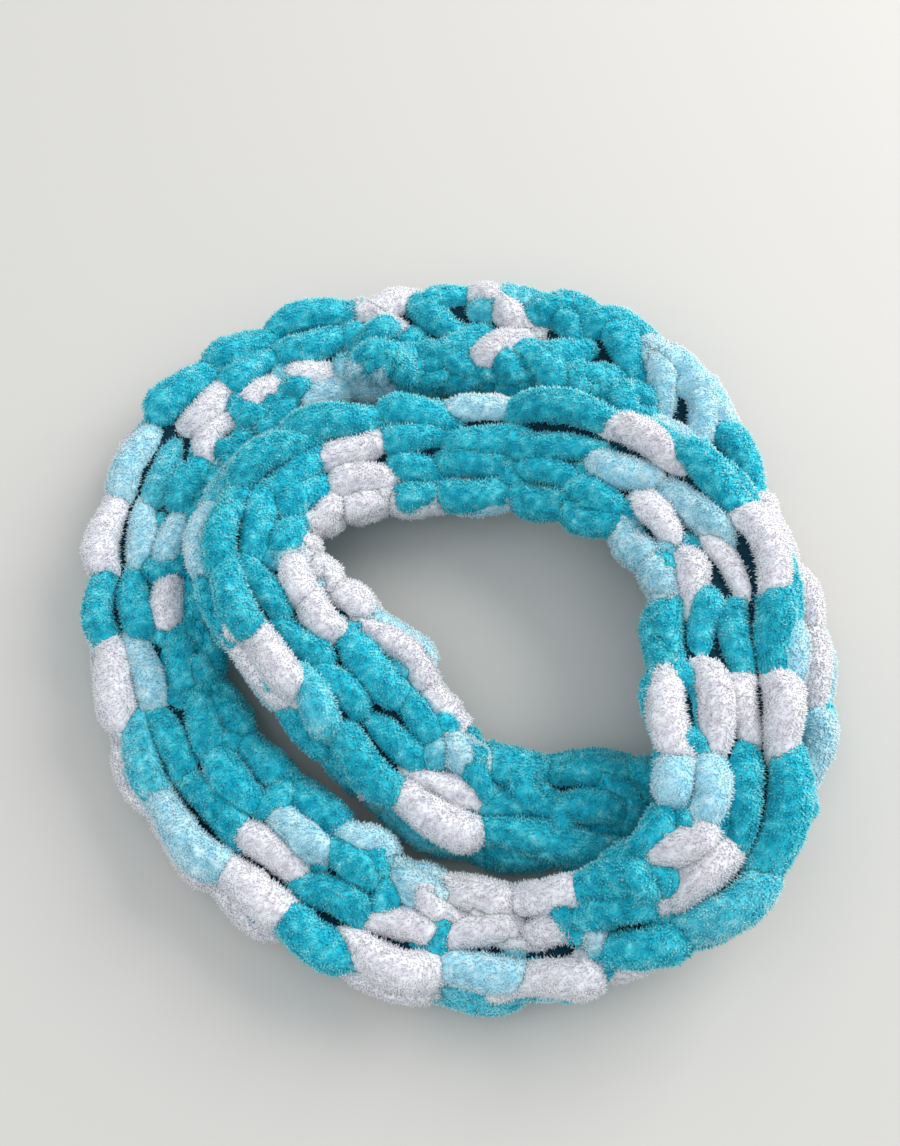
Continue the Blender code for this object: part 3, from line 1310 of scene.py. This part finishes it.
@dataclass(frozen=True)
class Openness:
    """How openly each place on the yarn lies, which sets how much pile it gets.

    Attributes:
        rings: Rings of directions over the upper half of the sky.
        around: Directions in each ring.
        lift: How far above the surface a look starts, in metres.
        reach: How far it looks, in metres.
        grazing: How far a direction must rise above the surface, as a sine.
        hidden_share: The density of pile where nothing is seen.
        full_from: The share of open directions that earns full density.
    """

    rings: tuple[float, ...] = (4.0, 32.0, 62.0)
    around: int = 7
    lift: float = 0.0012
    reach: float = 0.25
    grazing: float = 0.05
    hidden_share: float = 0.06
    full_from: float = 0.16

    def directions(self) -> list[Vector]:
        """Directions from which the scarf may be looked at."""
        found = []
        for ring, elevation in enumerate(self.rings):
            for step in range(self.around):
                azimuth = 2 * math.pi * (step + ring / 3) / self.around
                up = math.radians(elevation)
                level = math.cos(up)
                found.append(
                    Vector((level * math.cos(azimuth), level * math.sin(azimuth), math.sin(up)))
                )
        return found

    def measure(self, meshes: list[bpy.types.Mesh]) -> None:
        """Stores pile, from 0 to 1, at each vertex of the yarn meshes.

        Args:
            meshes: All the yarn of the scarf, which hides what is behind it.
        """
        points, faces, start = [], [], 0
        for mesh in meshes:
            mesh.calc_loop_triangles()
            corners = np.empty(3 * len(mesh.loop_triangles), dtype=int)
            mesh.loop_triangles.foreach_get("vertices", corners)
            points.append(vertices_of(mesh, "co"))
            faces.append(corners.reshape(-1, 3) + start)
            start += len(mesh.vertices)
        everything = BVHTree.FromPolygons(
            np.concatenate(points).tolist(), np.concatenate(faces).tolist()
        )
        ways = self.directions()
        matrix = np.array(ways)
        for mesh in meshes:
            normals = vertices_of(mesh, "normal")
            starts = vertices_of(mesh, "co") + normals * self.lift
            facing = normals @ matrix.T > self.grazing
            seen = np.zeros(len(starts))
            for vertex, (origin, looks) in enumerate(zip(starts.tolist(), facing)):
                origin = Vector(origin)
                seen[vertex] = sum(
                    everything.ray_cast(origin, ways[way], self.reach)[0] is None
                    for way in np.flatnonzero(looks)
                )
            share = np.clip(seen / len(ways) / self.full_from, 0.0, 1.0)
            pile = self.hidden_share + (1 - self.hidden_share) * share
            mesh.attributes.new("pile", "FLOAT", "POINT").data.foreach_set("value", pile)


@dataclass(frozen=True)
class Backing:
    """The thin sheet that carries the knitting of one stretch.

    Attributes:
        fold: The fold that it follows.
        thickness: Its thickness.
        step_along: From one station to the next along the band.
        steps_across: Steps across the cloth.
        edge_inset: How far it stops short of the cloth's free edges.
        end_gap: How far it stops short of the stretch's ends.
        sink: How far it lies below the middle of the cloth, behind the yarn.
        lowest: The least height of its underside.
        width_samples: Places where the width of the opened cloth is measured.
    """

    fold: LetterFold
    thickness: float = 2.4
    step_along: float = 14.0
    steps_across: int = 44
    edge_inset: float = 4.0
    end_gap: float = 0.15
    sink: float = 5.2
    lowest: float = 1.0
    width_samples: int = 60

    def flat_size(self, start: float, end: float) -> tuple[float, float]:
        """The width and length of the cloth of a stretch, in metres, when it is opened out.

        Args:
            start: The turn where the stretch starts.
            end: The turn where it ends.

        Returns:
            Width and length.
        """
        turns = np.linspace(start, end, self.width_samples)
        widths = self.fold.runs(self.fold.route.at(turns)[:, 2])[-1] + self.fold.cloth
        distances = self.fold.route.distance_at(np.array([start, end]))
        return float(widths.mean()) * MM, float(distances[1] - distances[0]) * MM

    def mesh(self, name: str, start: float, end: float) -> bpy.types.Mesh:
        """A closed thin wall along the fold.

        Args:
            name: The mesh's name.
            start: The turn where the stretch starts.
            end: The turn where it ends.

        Returns:
            The mesh, in metres.
        """
        low, high = self.fold.route.distance_at(np.array([start, end])) + (
            self.end_gap,
            -self.end_gap,
        )
        stations = np.linspace(low, high, max(3, round((high - low) / self.step_along) + 1))
        rings = []
        for station in stations:
            turn = self.fold.route.turn_at(np.array([station]))
            _, inner, middle, _, end_run = np.ravel(
                self.fold.runs(self.fold.route.at(turn)[:, 2])
            )
            run = np.linspace(self.edge_inset, end_run - self.edge_inset, self.steps_across + 1)
            sunk = np.interp(run, [inner, middle], [-self.sink, self.sink])
            runs = np.concatenate([run, run[::-1]])
            rise = np.concatenate([sunk + self.thickness / 2, sunk[::-1] - self.thickness / 2])
            ring = self.fold.place(np.full(len(runs), station), runs, rise)
            rings.append(ring)
        points = np.concatenate(rings)
        points[:, 2] = np.maximum(points[:, 2], self.lowest)
        count = 2 * (self.steps_across + 1)
        faces = [
            (
                ring * count + i,
                ring * count + (i + 1) % count,
                (ring + 1) * count + (i + 1) % count,
                (ring + 1) * count + i,
            )
            for ring in range(len(rings) - 1)
            for i in range(count)
        ]
        last = (len(rings) - 1) * count
        for i in range(self.steps_across):
            across = (i, i + 1, count - 2 - i, count - 1 - i)
            faces.append(tuple(reversed(across)))
            faces.append(tuple(last + corner for corner in across))
        mesh = bpy.data.meshes.new(name)
        mesh.from_pydata((points * MM).tolist(), [], faces)
        mesh.shade_smooth()
        return mesh


@dataclass(frozen=True)
class Stretch:
    """One stretch of the band: its backing, its yarn and its pile.

    Attributes:
        node: The solid in the frame that it stands for.
        start: The turn where it starts.
        end: The turn where it ends.
        courses: How many courses it has.
        lean: How far each leg of its stitches leans across the band.
        slot: The record's material slot; not used.
        shift: How much farther than usual the first leg lies from the free edge.
        gauge: From one leg of the upper face to the next.
    """

    node: str
    start: float
    end: float
    courses: int
    lean: float
    slot: str
    shift: float = 0.0
    gauge: float = 15.5


STRETCHES = (
    #        node             start  end  courses  lean  slot
    Stretch("inner_top", 36, 110, 4, 9.5, "chenille_turquoise", gauge=13.4),
    Stretch("upper_right", 110, 196, 5, 11, "chenille_white"),
    Stretch("lower_right", 196, 250, 4, 10, "chenille_turquoise"),
    Stretch("bottom", 250, 304, 4, 11, "chenille_white"),
    Stretch("outer_left", 304, 376, 5, 9.5, "chenille_turquoise"),
    Stretch("outer_top_left", 376, 432, 5, 9.5, "chenille_turquoise"),
    Stretch("joining_seam", 432, 435.5, 1, 2, "seam_yarn"),
    Stretch("outer_top", 435.5, 500, 7, -12, "chenille_turquoise", -6.5),
    Stretch("outer_right", 500, 552, 4, 9.5, "chenille_pale_aqua"),
    Stretch("under_crossing", 552, 604, 4, 9.5, "chenille_pale_aqua"),
    Stretch("inner_bottom", 604, 684, 3, 9.5, "chenille_turquoise"),
    Stretch("inner_left", 684, 756, 4, 11, "chenille_turquoise"),
)


@dataclass(frozen=True)
class Scarf:
    """The whole scarf.

    Attributes:
        knit: How it is knitted.
        yarn: What its yarn is like.
        pile: What the yarn's pile is like.
    """

    knit: ChenilleKnit
    yarn: Yarn = Yarn()
    pile: Pile = Pile()

    def courses(self) -> dict[str, list[Course]]:
        """Every course of the loop, by the node of the stretch that it is in."""
        found, index = {}, 0
        for stretch in STRETCHES:
            ends = np.array([stretch.start, stretch.end])
            low, high = self.knit.fold.route.distance_at(ends)
            pitch = (high - low) / stretch.courses
            found[stretch.node] = []
            for i in range(stretch.courses):
                middle = low + (i + 0.5) * pitch
                found[stretch.node].append(
                    Course(index, middle, pitch, stretch.lean, stretch.shift, stretch.gauge)
                )
                index += 1
        return found

    def yarns(self, finish: bpy.types.Material) -> dict[str, bpy.types.Mesh]:
        """The yarn of every stretch, which also knows how dense its pile is.

        Args:
            finish: The yarn's finish.

        Returns:
            One mesh for each node.
        """
        tree, made = self.yarn.tree(), {}
        inputs = self.yarn.sizes() | {"Sides": self.yarn.sides, "Finish": finish}
        for node, courses in self.courses().items():
            strands = [self.knit.strand(course, side) for course in courses for side in Side]
            made[node] = tree.baked(lines_mesh("lines_" + node, strands), "yarn_" + node, inputs)
        Openness().measure(list(made.values()))
        return made

    def build(self) -> None:
        """Makes every piece of every stretch, and hides the stretch's solid in the frame."""
        # depth is the backing's near-black finish, painted shade that shows in the gaps between the
        # stitches.
        chenille, depth = ChenilleFinish().material(), PaintedGapShadeFinish().material()
        yarns, tufts, backing = self.yarns(chenille), self.pile.tree(), Backing(self.knit.fold)
        for seed, stretch in enumerate(STRETCHES, start=1):
            node = stretch.node
            sheet_mesh = backing.mesh("backing_" + node, stretch.start, stretch.end)
            sheet_mesh.materials.append(depth)
            inputs = self.pile.sizes() | {"Seed": seed, "Finish": chenille}
            pile_mesh = tufts.baked(yarns[node].copy(), "pile_" + node, inputs)
            sheet = show("backing_" + node, sheet_mesh)
            yarn = show("yarn_" + node, yarns[node])
            pile = show("pile_" + node, pile_mesh)
            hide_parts(node)
            backing.flat_size(stretch.start, stretch.end)


@dataclass(frozen=True)
class Lamp:
    """One soft square light.

    Attributes:
        name: The light's name.
        at: Where it hangs.
        size: The side of the square.
        power: Its power in watts.
        colour: Its colour.
    """

    name: str
    at: tuple[float, float, float]
    size: float
    power: float
    colour: tuple[float, float, float]

    def hang(self, target: tuple[float, float, float]) -> None:
        """Hangs the light so that it points at a place."""
        lamp = bpy.data.lights.new(self.name, "AREA")
        lamp.size = self.size
        lamp.energy = self.power
        lamp.color = self.colour
        lamp_object = bpy.data.objects.new(self.name, lamp)
        lamp_object.location = self.at
        way = Vector(target) - Vector(self.at)
        lamp_object.rotation_euler = way.to_track_quat("-Z", "Y").to_euler()
        bpy.context.scene.collection.objects.link(lamp_object)


@dataclass(frozen=True)
class Studio:
    """The pale floor, the soft window light and the camera, in metres.

    Attributes:
        lamps: The lights.
        lit_place: Where they point.
        sky_colour: The colour of the light from all round.
        sky_strength: Its strength.
        camera_at: Where the camera stands.
        camera_elevation: How steeply it looks down, in degrees.
        lens: Its focal length in millimetres.
        floor_size: The side of the square floor.
    """

    lamps: tuple[Lamp, ...] = (
        Lamp("window", (1.3, 0.9, 1.1), 1.4, 37.0, (1.0, 0.98, 0.96)),
        Lamp("room", (-0.9, -0.6, 1.6), 2.0, 10.0, (0.92, 0.97, 1.0)),
    )
    lit_place: tuple[float, float, float] = (0.0, 0.0, 0.02)
    sky_colour: tuple[float, float, float, float] = (0.9, 0.95, 1.0, 1.0)
    sky_strength: float = 0.78
    camera_at: tuple[float, float, float] = (-0.00133, -0.20025, 0.56047)
    camera_elevation: float = 68.0
    lens: float = 39.27
    floor_size: float = 6.0

    def lay_floor(self) -> None:
        """Lays the plain pale floor."""
        half = self.floor_size / 2
        mesh = bpy.data.meshes.new("floor")
        corners = [(-half, -half, 0), (half, -half, 0), (half, half, 0), (-half, half, 0)]
        mesh.from_pydata(corners, [], [(0, 1, 2, 3)])
        mesh.materials.append(FloorFinish().material())
        floor = bpy.data.objects.new("floor", mesh)
        bpy.context.scene.collection.objects.link(floor)

    def light(self) -> None:
        """Hangs the lamps and lights the sky."""
        for lamp in self.lamps:
            lamp.hang(self.lit_place)
        world = bpy.data.worlds.new("studio")
        world.use_nodes = True
        sky = world.node_tree.nodes["Background"]
        sky.inputs["Color"].default_value = self.sky_colour
        sky.inputs["Strength"].default_value = self.sky_strength
        bpy.context.scene.world = world

    def stand_camera(self) -> None:
        """Stands the camera in front of the scarf, looking down at it."""
        scene = bpy.context.scene
        camera = bpy.data.cameras.new("camera")
        camera.lens = self.lens
        camera_object = bpy.data.objects.new("camera", camera)
        camera_object.location = self.camera_at
        camera_object.rotation_euler = (math.radians(90.0 - self.camera_elevation), 0.0, 0.0)
        scene.collection.objects.link(camera_object)
        scene.camera = camera_object

    def set_up(self) -> None:
        """Sets up the floor, the light and the camera."""
        bpy.context.scene.view_settings.view_transform = "Standard"
        self.lay_floor()
        self.light()
        self.stand_camera()


def main() -> None:
    """Builds the studio and the scarf."""
    logging.basicConfig(level=logging.INFO, format="%(message)s")
    Studio().set_up()
    route = Route(ROUTE_SECTIONS)
    logging.info("band: %.0f mm round", route.length)
    Scarf(ChenilleKnit(LetterFold(route))).build()


if __name__ == "__main__":
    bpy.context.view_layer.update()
    main()
